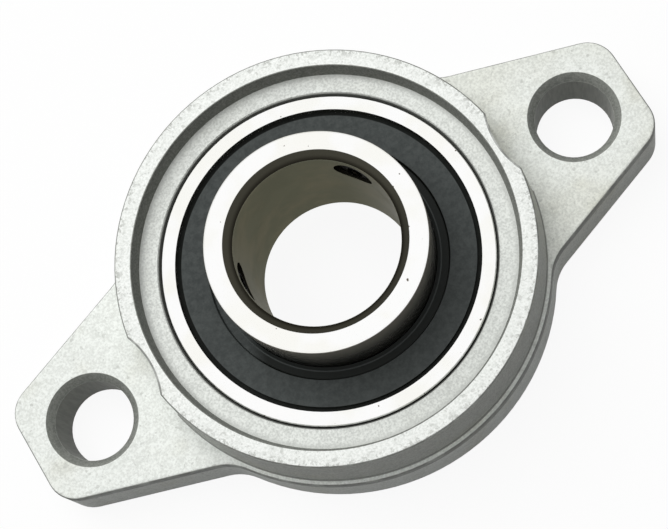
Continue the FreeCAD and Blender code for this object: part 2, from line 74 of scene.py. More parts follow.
MM = 0.001


def in_mm(*lengths):
    """Lengths in metres, written in millimetres."""
    return ", ".join("%.2f" % (length / MM) for length in lengths)


print("CAD box in mm:", in_mm(*(cad_high - cad_low)))

# %% [markdown]
# ## Sums with shader sockets
#
# A finish is a set of small sums: how far a point lies from the axis, how strong the grain is there, which
# tone that gives. Wiring Math nodes one by one hides those sums, so one small class wraps a socket and lets
# Python's own operators add the nodes. Any other node comes from its `node` method, which sets the node's
# options first and then its sockets.

# %% A socket that can do sums
class Wire:
    """One output socket, usable in Python sums."""

    def __init__(self, socket):
        self.socket = socket

    def node(self, kind, settings=None, sockets=None, out=0):
        """Add a node to the same tree: settings first, then values or links for its sockets."""
        tree = self.socket.id_data
        made = tree.nodes.new(kind)
        for name, value in (settings or {}).items():
            setattr(made, name, value)
        for name, value in (sockets or {}).items():
            plug(made.inputs[name], value)
        return Wire(made.outputs[out])

    def sum(self, operation, first, second):
        """A Math node on two numbers or wires."""
        return self.node("ShaderNodeMath", {"operation": operation}, {0: first, 1: second})

    def __add__(self, other):
        return self.sum("ADD", self, other)

    def __sub__(self, other):
        return self.sum("SUBTRACT", self, other)

    def __rsub__(self, other):
        return self.sum("SUBTRACT", other, self)

    def __mul__(self, other):
        return self.sum("MULTIPLY", self, other)

    def __pow__(self, other):
        return self.sum("POWER", self, other)

    def __or__(self, other):
        return self.sum("MAXIMUM", self, other)

    def __abs__(self):
        return self.sum("ABSOLUTE", self, 0.0)

    __radd__ = __add__
    __rmul__ = __mul__


def plug(socket, value):
    """Link a wire into a socket, or set the socket's own value."""
    if isinstance(value, Wire):
        socket.id_data.links.new(value.socket, socket)
    else:
        socket.default_value = value


print("shader sums: + - * ** | abs, where | takes the larger value")

# %% [markdown]
# ## Words for the patterns
#
# A few helpers name what every finish here needs: a fresh material, noise with lumps of a real width, a
# smooth step, a blend of two colours. They all read Object coordinates. Each CAD node sits at the origin
# with its place in its mesh, so Object coordinates are metres in the part's own frame.

# %% A fresh material
def new_finish(name, constant):
    """A material with one Principled shader, its constant values set on the shader's own sockets."""
    material = bpy.data.materials.new(name)
    material.use_nodes = True
    tree = material.node_tree
    shader = tree.nodes["Principled BSDF"]
    finish_with(shader, constant)
    place = Wire(tree.nodes.new("ShaderNodeTexCoord").outputs["Object"])
    return material, shader, place


def finish_with(shader, sockets):
    """Set or feed sockets of a Principled shader by name."""
    for name, value in sockets.items():
        plug(shader.inputs[name], value)


def dress(material, *names):
    """Give a finish to CAD nodes through their material slots."""
    for name in names:
        for holder in nodes[name].material_slots:
            holder.material = material
    print(material.name, "on", ", ".join(names))


print("a finish is one Principled shader and a place on the part")

# %% Noise and smooth steps
def noise(place, lump, detail=2.0, roughness=0.6):
    """Noise from 0 to 1 whose lumps are about `lump` metres wide."""
    sockets = {"Vector": place, "Scale": 1 / lump, "Detail": detail, "Roughness": roughness}
    return place.node("ShaderNodeTexNoise", None, sockets)


def ramp(value, low, high, start=0.0, stop=1.0):
    """A smooth step from start at low to stop at high."""
    sockets = {0: value, 1: low, 2: high, 3: start, 4: stop}
    return value.node("ShaderNodeMapRange", {"interpolation_type": "SMOOTHSTEP"}, sockets)


def until(value, low, high):
    """One below low, falling to zero at high."""
    return ramp(value, low, high, 1.0, 0.0)


def band(value, low, high, soft):
    """One between low and high, zero outside, with soft ends."""
    return ramp(value, low - soft, low) * until(value, high, high + soft)


print("patterns: noise, ramp, until, band")

# %% Colours, bumps and places
def tint(share, first, second):
    """Blend two colours, or two colour wires, by a share from 0 to 1."""
    ends = [end if isinstance(end, Wire) else (*end, 1.0) for end in (first, second)]
    return share.node("ShaderNodeMix", {"data_type": "RGBA"}, {0: share, 6: ends[0], 7: ends[1]}, 2)


def layered(colour, *layers):
    """Lay colours over a first one in turn, each as far as its mask says."""
    for mask, above in layers:
        colour = tint(mask, colour, above)
    return colour


def bumped(height, strength, depth):
    """A Bump node for a height pattern."""
    return height.node("ShaderNodeBump", None, {"Strength": strength, "Distance": depth, "Height": height})


def axes(place):
    """The x, y and z of a point as three wires."""
    split = place.node("ShaderNodeSeparateXYZ", None, {0: place}).socket.node
    return [Wire(output) for output in split.outputs]


def from_axis(place):
    """How far a point lies from the bore axis, and how high."""
    x, y, z = axes(place)
    return (x * x + y * y) ** 0.5, z


print("helpers: tint, layered, bumped, axes, from_axis, all in metres of the part's own frame")

# %% [markdown]
# ## Cast zinc
#
# The housing is a zinc die casting, tumbled and left bare. Up close it is pale grey with a fine grain, a
# slow cloudiness, a few yellowish stains and small dents. A picture wrapped over the part would stretch on
# the walls, so the grain is layers of noise in object space: they run through the metal like the real
# crystals and look the same from every side.

# %% Grain of the casting
CRYSTAL = 0.28 * MM
CLOUD = 1.4 * MM
STAIN = 7.0 * MM
DENT = 0.9 * MM
CRYSTAL_SHARE = 0.78
GRAIN_STEP = (0.34, 0.66)
DENT_STEP = (0.66, 0.72)
zinc, shader, place = new_finish("cast_zinc", {"Roughness": 0.62, "Specular IOR Level": 0.25})
x, y, height = axes(place)
radius, _ = from_axis(place)
crystals = noise(place, CRYSTAL)
clouds = noise(place, CLOUD)
stains = noise(place, STAIN)
dents = ramp(noise(place, DENT, detail=1.0), *DENT_STEP)
grain = ramp(crystals * CRYSTAL_SHARE + clouds * (1 - CRYSTAL_SHARE), *GRAIN_STEP)
print("crystals, clouds, stains and dents in mm:", in_mm(CRYSTAL, CLOUD, STAIN, DENT))

# %% [markdown]
# Not every place on the casting looks the same. The walls of the cored bolt holes are painted dark grey as
# shade, with upright streaks drawn by the core pins, and their flare grows darker towards the hole as painted
# shade. One arm is stained, and painted darker as shade beside the boss. The step inside the rim was turned
# on a lathe; its wall and edges are painted dark as shade, its ledge is painted darker as shade from the rim,
# darkest at the foot of the wall, and the edge of the seat is painted as the dark shade of the gap. The rim
# itself is bright, with flecks and a chipped outer edge, and the wall of the boss is painted greyer than the
# flange as shade. A dark band runs along the top of the flange's side, dark lines run along the top edges of
# the rim and the reliefs, and the corner where the boss stands on the flange is painted dark as shade and
# dirt. Masks painted by hand would have to follow every edge, so each place is known by a distance instead,
# from a bolt axis, from the bore axis or from the table, and the edges are measured on the CAD mesh.

# %% Edges measured on the housing
FLANGE_TOP = 8.0 * MM
LEDGE_TOP = 13.65 * MM
RELIEF_RADIUS = 10.8 * MM
BOSS_FOOT = 26.48 * MM
SAME_HEIGHT = 0.01 * MM


def radii_at(name, height, centre=0.0):
    """Smallest and largest distance, from an upright axis on the X axis, of a node's points at a height."""
    spots = [vertex.co for vertex in nodes[name].data.vertices]
    level = [spot for spot in spots if abs(spot.z - height) < SAME_HEIGHT]
    away = [math.hypot(spot.x - centre, spot.y) for spot in level]
    return min(away), max(away)


bolt_x = mounts["bolt_holes"]["dims"]["spacing_x_mm"] / 2 * MM
hole_radius = mounts["bolt_holes"]["dims"]["hole_r_mm"] * MM
hole_mouth, _ = radii_at("housing", FLANGE_TOP, bolt_x)
rim_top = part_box("housing")[1].z
rim_inner, rim_outer = radii_at("housing", rim_top)
seat_mouth, ledge_outer = radii_at("housing", LEDGE_TOP)
print("bolt hole and its mouth in mm:", in_mm(hole_radius, hole_mouth))
print("seat mouth, ledge and rim in mm:", in_mm(seat_mouth, ledge_outer, rim_inner, rim_outer))

# %% Skin of the bolt holes, painted dark as shade
SOFT = 0.05 * MM
DRAW_MARK = 0.35 * MM
DRAW_STEP = (0.35, 0.65)
DRAW_SQUEEZE = 0.1
from_bolt = ((abs(x) - bolt_x) ** 2.0 + y * y) ** 0.5
# The walls of the bolt holes are painted dark grey as shade, with upright draw marks, and the flare is painted
# darker towards the hole as shade.
hole_skin_shade = until(from_bolt, hole_mouth, hole_mouth + SOFT)
flare = hole_skin_shade * ramp(from_bolt, hole_radius, hole_radius + SOFT)
flare_shade_rise = ramp(from_bolt, hole_radius, hole_mouth)
upright = place.node("ShaderNodeCombineXYZ", None, {0: x, 1: y, 2: height * DRAW_SQUEEZE})
draw_marks = ramp(noise(upright, DRAW_MARK), *DRAW_STEP)
print("hole skin within", in_mm(hole_mouth), "mm of each bolt axis")

# %% Stains, and painted shade beside the boss on one arm
ARM_SHADE_FROM = 18 * MM
ARM_SHADE_TO = 30 * MM
CLEAN_NEAR_HOLE = 5 * MM
STAINED_FROM_HOLE = 13 * MM
STAIN_STEP = (0.45, 0.85)
STAIN_SHARE = 0.45
ARM_STAIN_AND_SHADE_SHARE = 0.30
# Beside the boss, one arm is painted darker and warmer: a stain, and painted shade from the boss.
arm_stain_and_shade = ramp(x, ARM_SHADE_FROM, ARM_SHADE_TO) * ramp(from_bolt, CLEAN_NEAR_HOLE, STAINED_FROM_HOLE)
stained = ramp(stains, *STAIN_STEP) * STAIN_SHARE + arm_stain_and_shade * ARM_STAIN_AND_SHADE_SHARE
print("handled arm from", in_mm(ARM_SHADE_FROM), "mm outwards")

# %% Turned step and ledge
EDGE_LINE = 0.10 * MM
SHADE_BAND = 0.8 * MM
above_ledge = ramp(height, LEDGE_TOP + SOFT, LEDGE_TOP + 2 * SOFT)
# The turned wall inside the rim, with a thin line on the rim's inner edge, is painted dark as shade.
turned_wall_shade = band(radius, ledge_outer, rim_inner + EDGE_LINE, SOFT) * above_ledge
# The edge of the seat next to the outer ring is painted dark as the shade of the gap.
seat_gap_shade = until(radius, seat_mouth - 2 * EDGE_LINE, seat_mouth - EDGE_LINE / 2)
above_flange = ramp(height, FLANGE_TOP + SOFT, FLANGE_TOP + 2 * SOFT)
# The ledge inside the rim is painted darker zinc as shade from the rim, with its grain.
ledge = above_flange * until(radius, ledge_outer, ledge_outer + SOFT)
# Towards the foot of the turned wall the ledge is painted darker still, as shade.
ledge_corner_shade = ledge * ramp(radius, ledge_outer - SHADE_BAND, ledge_outer)
print("turned wall from ledge to rim in mm:", in_mm(ledge_outer, rim_inner))

# %% Rim, reliefs and boss wall
FLECK = 0.7 * MM
FLECK_STEP = (0.60, 0.68)
CHIP = 0.45 * MM
CHIP_STEP = (0.50, 0.60)
CHIP_BAND = 1.2 * MM
rim_face = ramp(height, rim_top - 2 * SOFT, rim_top - SOFT)
reliefs = until(from_bolt, RELIEF_RADIUS + SOFT, RELIEF_RADIUS + 4 * SOFT)
# The boss wall and the reliefs get a greyer zinc, painted as shade.
shaded_boss_wall = above_flange * (ramp(radius, rim_outer - SOFT, rim_outer) | reliefs)
flecks = rim_face * ramp(noise(place, FLECK, detail=3.0), *FLECK_STEP)
chipped = rim_face * ramp(radius, rim_outer - CHIP_BAND, rim_outer)
chips = chipped * ramp(noise(place, CHIP, detail=3.0), *CHIP_STEP)
print("rim flecks and chips in mm:", in_mm(FLECK, CHIP))

# %% Dark lines along the edges
DARK_BAND = 1.1 * MM
DARK_BAND_FADE = 0.7 * MM
RIM_BREAK = 0.18 * MM
WEAR = 2.5 * MM
WEAR_STEP = (0.30, 0.60)
LEAST_WEAR = 0.65
# A dark band along the top of the flange's side, and dark lines at the top edges of the rim and the reliefs.
upper_side = ramp(height, FLANGE_TOP - DARK_BAND - DARK_BAND_FADE, FLANGE_TOP - DARK_BAND)
below_top = until(height, FLANGE_TOP - 2 * SOFT, FLANGE_TOP - SOFT)
flange_edge = upper_side * below_top * (1 - hole_skin_shade)
rim_edge = band(height, rim_top - RIM_BREAK, rim_top - SOFT, SOFT / 2)
relief_line = band(from_bolt, RELIEF_RADIUS - EDGE_LINE, RELIEF_RADIUS + 2 * EDGE_LINE, SOFT)
relief_edge = relief_line * ramp(height, rim_top - RIM_BREAK - SOFT, rim_top - RIM_BREAK)
wear = ramp(noise(place, WEAR, detail=3.0), *WEAR_STEP, LEAST_WEAR, 1.0)
darkened = (flange_edge | rim_edge | relief_edge) * wear
print("trimmed lines of flange and rim in mm:", in_mm(DARK_BAND, RIM_BREAK))

# %% Painted shade and dirt in the corner at the foot of the boss
CORNER_LINE = 0.12 * MM
# A dark line painted into the crease at the foot of the boss and round the reliefs: painted shade, with dirt.
at_flange = band(height, FLANGE_TOP - SOFT, FLANGE_TOP + CORNER_LINE, SOFT)
foot_line = band(radius, BOSS_FOOT - CORNER_LINE, BOSS_FOOT + CORNER_LINE, SOFT)
foot = foot_line * ramp(from_bolt, RELIEF_RADIUS, RELIEF_RADIUS + SOFT)
relief_foot = relief_line * until(radius, BOSS_FOOT, BOSS_FOOT + SOFT)
corner = (foot | relief_foot) * at_flange
print("dirty corner round the boss and round the bolts in mm:", in_mm(BOSS_FOOT, RELIEF_RADIUS))

# %% Zinc colours, most of them a dark and a light of the grain
# Some of these colours are painted shade: those of the boss wall, the ledge and its corner, the hole skin and
# flare, the turned wall and the gap, and partly the stain beside the boss and the dark line in the crease.
ZINC = (0.72, 0.745, 0.705), (0.92, 0.95, 0.91)
BOSS_WALL_SHADE = (0.46, 0.474, 0.442), (0.64, 0.659, 0.618)
STAIN_AND_SHADE = (0.47, 0.465, 0.375), (0.63, 0.622, 0.50)
RIM = (0.78, 0.805, 0.77), (0.97, 0.99, 0.96)
LEDGE_SHADE = (0.60, 0.62, 0.59), (0.84, 0.865, 0.825)
HOLE_SHADE = (0.30, 0.31, 0.285), (0.37, 0.38, 0.35)
FLARE_SHADE = (0.15, 0.156, 0.143), (0.30, 0.312, 0.285)
TURNED_WALL_SHADE = (0.13, 0.135, 0.122), (0.22, 0.228, 0.207)
DENTED = (0.42, 0.43, 0.40)
LEDGE_CORNER_SHADE = (0.50, 0.515, 0.49)
DARK_LINE = (0.15, 0.154, 0.142)
GAP_SHADE = (0.08, 0.083, 0.076)
print("12 zinc colours, the palest", RIM[1], "and the darkest", GAP_SHADE)

# %% Housing finish
DENT_SHARE = 0.4
FLECK_SHARE = 0.45
CHIP_SHARE = 0.7
LEDGE_SHADE_SHARE = 0.8
SHADE_SHARE = 0.65
FLARE_GRAIN = 0.65
CREASE_SHADE_AND_DIRT_SHARE = 0.9
DARK_LINE_SHARE = 0.85
DENT_DEPTH = 0.8
GRAIN_STRENGTH = 0.3
GRAIN_DEPTH = 0.06 * MM
colour = layered(
    tint(grain, *ZINC),
    (shaded_boss_wall, tint(grain, *BOSS_WALL_SHADE)),
    (stained, tint(grain, *STAIN_AND_SHADE)),
    (rim_face, tint(grain, *RIM)),
    (dents * DENT_SHARE | flecks * FLECK_SHARE | chips * CHIP_SHARE, DENTED),
    (ledge * LEDGE_SHADE_SHARE, tint(grain, *LEDGE_SHADE)),
    (ledge_corner_shade * SHADE_SHARE, LEDGE_CORNER_SHADE),
    (hole_skin_shade, tint(draw_marks, *HOLE_SHADE)),
    (flare, tint(flare_shade_rise * (1 - FLARE_GRAIN) + grain * FLARE_GRAIN, *FLARE_SHADE)),
    ((darkened | corner * CREASE_SHADE_AND_DIRT_SHARE) * DARK_LINE_SHARE, DARK_LINE),
    (turned_wall_shade, tint(grain, *TURNED_WALL_SHADE)),
    (seat_gap_shade, GAP_SHADE),
)
relief = bumped(crystals - dents * DENT_DEPTH, GRAIN_STRENGTH, GRAIN_DEPTH)
finish_with(shader, {"Base Color": colour, "Normal": relief})
dress(zinc, "housing")

# %% [markdown]
# ## Ground steel
#
# Both rings are hardened steel. Their faces are ground, so they mirror the white room and look almost
# white, with a few dark specks. Grinding leaves fine circles, and there is a neat way to get them: noise
# that reads only the distance from the axis and the height cannot change around the axis, so it draws
# circles on faces and cylinders alike. The bore and its chamfer are brown from oil and hardening, and
# painted dark as the reflection of dark surroundings. The walls between the faces are painted dark as
# shade and as the reflection of the dark seals, with a painted sheen under the edge of the inner ring, and
# the spherical back is painted as shaded. The specular tint, which only shows at flat angles, keeps those
# walls from mirroring white.

# %% Edges measured on the rings
bore_radius = mounts["shaft_bore"]["dims"]["r_mm"] * MM
ring_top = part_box("inner_ring")[1].z
bore_edge, shoulder = radii_at("inner_ring", ring_top)
recess, outer_edge = radii_at("outer_ring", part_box("outer_ring")[1].z)
print("bore and inner ring face in mm:", in_mm(bore_radius, bore_edge, shoulder))
print("outer ring face in mm:", in_mm(recess, outer_edge))

# %% Grinding circles, straw film, oil and specks
FLAT_ANGLE_TINT = (0.5, 0.49, 0.45, 1.0)
GRINDING = 0.05 * MM
FILM = 6.0 * MM
FILM_STEP = (0.42, 0.62)
OIL = 4.0 * MM
OIL_STEP = (0.40, 0.66)
SPECK = 0.8 * MM
SPECK_STEP = (0.755, 0.775)


def circles(radius, height, lump, detail=2.0):
    """Noise that changes only with the distance from the axis and the height, so it draws circles."""
    around = radius.node("ShaderNodeCombineXYZ", None, {0: radius, 1: height})
    return noise(around, lump, detail)


constant = {"Specular Tint": FLAT_ANGLE_TINT, "Specular IOR Level": 0.0}
steel, shader, place = new_finish("ground_steel", constant)
radius, height = from_axis(place)
grinding = circles(radius, height, GRINDING, detail=3.0)
film = ramp(noise(place, FILM), *FILM_STEP)
oil_patches = ramp(noise(place, OIL, detail=3.0), *OIL_STEP)
specks = ramp(noise(place, SPECK, detail=1.0), *SPECK_STEP)
print("grinding, film, oil and specks in mm:", in_mm(GRINDING, FILM, OIL, SPECK))

# %% Bore, chamfer and walls of the rings
LINE = 0.03 * MM
EDGE_BREAK = 0.18 * MM
CHAMFER_FADE = 0.6 * MM
SHEEN_DEPTH = 9.0 * MM
# The walls between the faces are painted dark as shade and as the reflection of the dark seals, and a painted
# sheen, lighter and less metallic, runs down from the inner ring's edge.
walls = band(radius, shoulder + EDGE_BREAK, recess - LINE, LINE)
wall_sheen = walls * ramp(height, ring_top - SHEEN_DEPTH, ring_top)
# The bore and its chamfer are oil brown, and painted dark as the reflection of dark surroundings.
chamfer = until(radius, bore_edge - LINE, bore_edge)
bore = until(radius, bore_radius + LINE, bore_radius + 2 * LINE)
bore_line = until(radius, bore_radius + LINE, bore_radius + CHAMFER_FADE) * (1 - bore)
spherical_back = ramp(radius, outer_edge + EDGE_BREAK - LINE, outer_edge + EDGE_BREAK)
print("chamfer in mm:", in_mm(bore_radius, bore_edge), "and film down the wall:", in_mm(SHEEN_DEPTH))

# %% Ring finish
FACE_STEEL = (0.975, 0.975, 0.97), (0.95, 0.945, 0.905)
OILED_BORE = (0.150, 0.152, 0.112), (0.180, 0.172, 0.124)
# Painted shade and dark reflection for the walls, lighter where the painted sheen is.
SHADED_WALL = (0.22, 0.22, 0.21), (0.31, 0.298, 0.262)
DARK_SPECK = (0.16, 0.14, 0.11)
SHADED_BACK = (0.09, 0.09, 0.082)
CHAMFER = (0.066, 0.063, 0.048)
BORE_LINE = (0.02, 0.018, 0.013)
CIRCLE_STRENGTH = 0.08
CIRCLE_DEPTH = 0.01 * MM
FACE_ROUGHNESS = 0.17
FILM_ROUGHNESS = 0.05
CIRCLE_ROUGHNESS = 0.06
BORE_ROUGHNESS = 0.12
CHAMFER_DULL = 0.6
BORE_SHINE = 0.3
SHEEN_DULL = 0.8
colour = layered(
    tint(film, *FACE_STEEL),
    (specks, DARK_SPECK),
    (walls, tint(wall_sheen, *SHADED_WALL)),
    (spherical_back, SHADED_BACK),
    (chamfer, CHAMFER),
    (bore, tint(oil_patches, *OILED_BORE)),
    (bore_line, BORE_LINE),
)
ground = FACE_ROUGHNESS + film * FILM_ROUGHNESS + grinding * CIRCLE_ROUGHNESS
finish_with(shader, {
    "Base Color": colour,
    "Metallic": 1.0 - chamfer * CHAMFER_DULL + bore * BORE_SHINE - wall_sheen * SHEEN_DULL,
    "Roughness": ground + bore * BORE_ROUGHNESS,
    "Normal": bumped(grinding, CIRCLE_STRENGTH, CIRCLE_DEPTH),
})
dress(steel, "outer_ring", "inner_ring")

# %% [markdown]
# ## Rubber
#
# The seals are moulded nitrile rubber, dark blue-grey and dull, with a little dust and the faint circles of
# the turned mould. The same noise around the axis makes those circles. The groove at the outer edge is
# painted almost black, as shade and old grease. The edge of the step down towards the lip and the floor
# inside it are painted almost black as shade on one side, and a straight soft line across the seal ends
# that painted shade. A thin lighter line on the lip is a painted highlight.

# %% Groove, step and lip of the seal
STEP_LINE = 0.22 * MM
LIP_HIGHLIGHT_LINE = 0.06 * MM
LIP_GAP = 0.7 * MM
FLOOR_SHADE_SHARE = 0.85
UNSHADED_SIDE = (-0.94, 0.34)
UNSHADED_FROM = 9.5 * MM
UNSHADED_TO = 12.0 * MM
rubber, shader, place = new_finish("nitrile_rubber", {"Specular IOR Level": 0.18})
radius, height = from_axis(place)
step, groove = radii_at("front_seal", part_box("front_seal")[1].z)
lip = shoulder + LIP_GAP
# The groove at the outer edge is painted near-black, as shade and grease.
groove_shade = ramp(radius, groove - SOFT, groove)
x, y, _ = axes(place)
# The step's edge and the floor inside it are painted near-black as shade on one side, fading out across a straight
# soft line.
shaded_side = until(x * UNSHADED_SIDE[0] + y * UNSHADED_SIDE[1], UNSHADED_FROM, UNSHADED_TO)
step_shadow = band(radius, step - STEP_LINE, step, SOFT) * shaded_side
floor_shade = until(radius, step - SOFT, step) * shaded_side * FLOOR_SHADE_SHARE
# A thin lighter line on the lip is a painted highlight.
lip_highlight = band(radius, lip - LIP_HIGHLIGHT_LINE, lip + LIP_HIGHLIGHT_LINE, SOFT)
print("lip, step and groove in mm:", in_mm(lip, step, groove))

# %% Seal finish
RUBBER = (0.039, 0.044, 0.043), (0.068, 0.075, 0.073)
SHADE_AND_GREASE_BLACK = (0.004, 0.005, 0.004)
DUST = 0.7 * MM
DUST_STEP = (0.30, 0.74)
MOULD_MARK = 0.12 * MM
PORE = 0.25 * MM
PORE_SHARE = 0.6
LIP_HIGHLIGHT_SHARE = 0.8
PORE_STRENGTH = 0.14
PORE_DEPTH = 0.03 * MM
RUBBER_ROUGHNESS = 0.46
DUST_ROUGHNESS = 0.14
dust = ramp(noise(place, DUST, detail=4.0, roughness=0.7), *DUST_STEP)
skin = circles(radius, height, MOULD_MARK) + noise(place, PORE) * PORE_SHARE
colour = layered(
    tint(dust, *RUBBER),
    (groove_shade | step_shadow | floor_shade, SHADE_AND_GREASE_BLACK),
    (lip_highlight * LIP_HIGHLIGHT_SHARE, RUBBER[1]),
)
finish_with(shader, {
    "Base Color": colour,
    "Roughness": RUBBER_ROUGHNESS + dust * DUST_ROUGHNESS,
    "Normal": bumped(skin, PORE_STRENGTH, PORE_DEPTH),
})
dress(rubber, "front_seal", "rear_seal")

# %% [markdown]
# ## Balls, cage and screws
#
# The balls are polished and carry a thin smear of grease, which only changes how sharply they mirror. The
# cage is pressed sheet, duller, with a slow cloudiness from the press oil. The screws are blackened, and
# the black is worn brown in places. One layer of noise is enough for each of these small pieces.

# %% Polished balls
BALL_STEEL = (0.82, 0.82, 0.82, 1.0)
SMEAR = 2.0 * MM
SMEAR_STEP = (0.40, 0.65)
BALL_ROUGHNESS = 0.06
SMEAR_ROUGHNESS = 0.10
polished, shader, place = new_finish("polished_ball", {"Metallic": 1.0, "Base Color": BALL_STEEL})
grease = ramp(noise(place, SMEAR, detail=3.0), *SMEAR_STEP)
finish_with(shader, {"Roughness": BALL_ROUGHNESS + grease * SMEAR_ROUGHNESS})
balls = [name for name in nodes if name.startswith("ball_")]
dress(polished, *balls)

# %% Pressed cage
SHEET = (0.56, 0.55, 0.53), (0.44, 0.42, 0.38)
PRESS_OIL = 1.2 * MM
PRESS_OIL_STEP = (0.35, 0.70)
SHEET_ROUGHNESS = 0.30
OIL_ROUGHNESS = 0.14
pressed, shader, place = new_finish("pressed_sheet", {"Metallic": 1.0})
press_oil = ramp(noise(place, PRESS_OIL, detail=3.0), *PRESS_OIL_STEP)
finish_with(shader, {
    "Base Color": tint(press_oil, *SHEET),
    "Roughness": SHEET_ROUGHNESS + press_oil * OIL_ROUGHNESS,
})
dress(pressed, "cage_front", "cage_rear", "cage_rivets")

# %% Blackened screws
DULL_EDGE = (0.3, 0.3, 0.3, 1.0)
BLACKENED = (0.016, 0.016, 0.015), (0.10, 0.095, 0.085)
RUB = 0.5 * MM
RUB_STEP = (0.45, 0.80)
BLACK_ROUGHNESS = 0.34
RUB_ROUGHNESS = 0.12
black, shader, place = new_finish("blackened_steel", {"Metallic": 1.0, "Specular Tint": DULL_EDGE})
rubbed = ramp(noise(place, RUB, detail=3.0), *RUB_STEP)
finish_with(shader, {
    "Base Color": tint(rubbed, *BLACKENED),
    "Roughness": BLACK_ROUGHNESS + rubbed * RUB_ROUGHNESS,
})
print(black.name, "waits for the threaded screws")

# %% [markdown]
# ## A threaded set screw
#
# Each screw is a short headless one with a hexagon socket outside and a cup point towards the shaft. The
# CAD solid is a plain cylinder, because the simulation has no use for a thread. Here the thread is real
# geometry: a small diamond is swept along a helix by the Screw modifier and half sunk into a slim core,
# which leaves a V-shaped ridge. The socket and the cup are cut out of the core with booleans. The screw is
# modelled once, upright with its point at the origin, and then copied to both places.

# %% Screw sizes from the frame
SCREWS = ("set_screw_1", "set_screw_2")
THREAD_DEPTH = 0.40 * MM


def feed_line(name):
    """Tip, direction towards the socket, radius and length of a screw, measured on its CAD node."""
    outward = -Vector(joints[name + "_feed"]["axis"])
    along = [vertex.co.dot(outward) for vertex in nodes[name].data.vertices]
    low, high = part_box(name)
    middle = (low.z + high.z) / 2
    tip = outward * min(along) + Vector((0, 0, middle))
    return tip, outward, (high.z - low.z) / 2, max(along) - min(along)


_, _, crest_radius, screw_length = feed_line(SCREWS[0])
root_radius = crest_radius - THREAD_DEPTH
print("screw crest, root and length in mm:", in_mm(crest_radius, root_radius, screw_length))

# %% Hand tools
def pick(piece):
    """Leave edit mode, deselect everything, the CAD nodes too, and select one piece."""
    if bpy.context.mode != "OBJECT":
        bpy.ops.object.mode_set(mode="OBJECT")
    bpy.ops.object.select_all(action="DESELECT")
    if piece:
        piece.select_set(True)
        bpy.context.view_layer.objects.active = piece


def settle(piece):
    """Put a piece's place, turn and scale into its mesh."""
    pick(piece)
    bpy.ops.object.transform_apply(location=True, rotation=True, scale=True)
    return piece


def cut_away(piece, tool):
    """Take one closed shape out of another and drop the tool."""
    pick(piece)
    cut = piece.modifiers.new("cut", "BOOLEAN")
    cut.operation = "DIFFERENCE"
    cut.solver = "EXACT"
    cut.object = tool
    bpy.ops.object.modifier_apply(modifier=cut.name)
    bpy.data.objects.remove(tool)


print("hand tools: pick, settle, cut away")

# %% Core with chamfered ends
CORE_SIDES = 64
END_CHAMFER = 0.2 * MM
FACES_UP = 0.9
pick(None)
bpy.ops.mesh.primitive_cylinder_add(
    vertices=CORE_SIDES, radius=root_radius, depth=screw_length, location=(0, 0, screw_length / 2)
)
core = settle(bpy.context.object)
bpy.ops.object.mode_set(mode="EDIT")
bpy.ops.mesh.select_mode(type="FACE")
bpy.ops.mesh.select_all(action="DESELECT")
bpy.ops.object.mode_set(mode="OBJECT")
for face in core.data.polygons:
    face.select = abs(face.normal.z) > FACES_UP
bpy.ops.object.mode_set(mode="EDIT")
bpy.ops.mesh.bevel(offset=END_CHAMFER, offset_type="OFFSET", segments=1)
pick(None)
print("screw core:", len(core.data.polygons), "faces")

# %% Hexagon socket and cup point
KEY_WIDTH = 2.5 * MM
KEY_DEPTH = 1.2 * MM
CUP_RADIUS = 1.25 * MM
CUP_DEPTH = 0.5 * MM
CUP_SIDES = 48
key_radius = KEY_WIDTH / 2 / math.cos(math.radians(30))
bpy.ops.mesh.primitive_cylinder_add(
    vertices=6, radius=key_radius, depth=2 * KEY_DEPTH, location=(0, 0, screw_length)
)
cut_away(core, settle(bpy.context.object))
pick(None)
bpy.ops.mesh.primitive_cone_add(
    vertices=CUP_SIDES, radius1=2 * CUP_RADIUS, radius2=0, depth=2 * CUP_DEPTH
)
cut_away(core, settle(bpy.context.object))
print("core with socket and cup:", len(core.data.polygons), "faces")

# %% Thread ridge
THREAD_PITCH = 0.8 * MM
THREAD_START = 0.45 * MM
RIDGE_HALF_WIDTH = 0.30 * MM
STEPS_PER_TURN = 48
SAME_POINT = 0.001 * MM


def thread_ridge(centre_x, depth, half_width, turns):
    """Sweep a diamond along the thread's helix, from a start beside the axis, into a closed ridge."""
    pick(None)
    bpy.ops.mesh.primitive_plane_add(size=math.sqrt(2), rotation=(math.pi / 2, math.pi / 4, 0))
    ridge = settle(bpy.context.object)
    ridge.scale = (depth, 1, half_width)
    ridge.location = (centre_x, 0, THREAD_START)
    settle(ridge)
    bpy.ops.object.mode_set(mode="EDIT")
    bpy.ops.mesh.select_all(action="SELECT")
    bpy.ops.mesh.delete(type="ONLY_FACE")
    bpy.ops.object.mode_set(mode="OBJECT")
    helix = ridge.modifiers.new("helix", "SCREW")
    helix.axis = "Z"
    helix.angle = 2 * math.pi * turns
    helix.screw_offset = THREAD_PITCH * turns
    helix.steps = helix.render_steps = round(STEPS_PER_TURN * turns)
    bpy.ops.object.modifier_apply(modifier=helix.name)
    bpy.ops.object.mode_set(mode="EDIT")
    bpy.ops.mesh.select_all(action="SELECT")
    bpy.ops.mesh.remove_doubles(threshold=SAME_POINT)
    bpy.ops.mesh.fill_holes(sides=4)
    bpy.ops.mesh.select_all(action="SELECT")
    bpy.ops.mesh.normals_make_consistent(inside=False)
    bpy.ops.object.mode_set(mode="OBJECT")
    return ridge


screw_turns = (screw_length - 2 * THREAD_START) / THREAD_PITCH
ridge = thread_ridge(root_radius, THREAD_DEPTH, RIDGE_HALF_WIDTH, screw_turns)
print("thread ridge:", round(screw_turns, 2), "turns,", len(ridge.data.polygons), "faces")

# %% Join, copy and seat the screws
SMOOTH_ANGLE = math.radians(35)


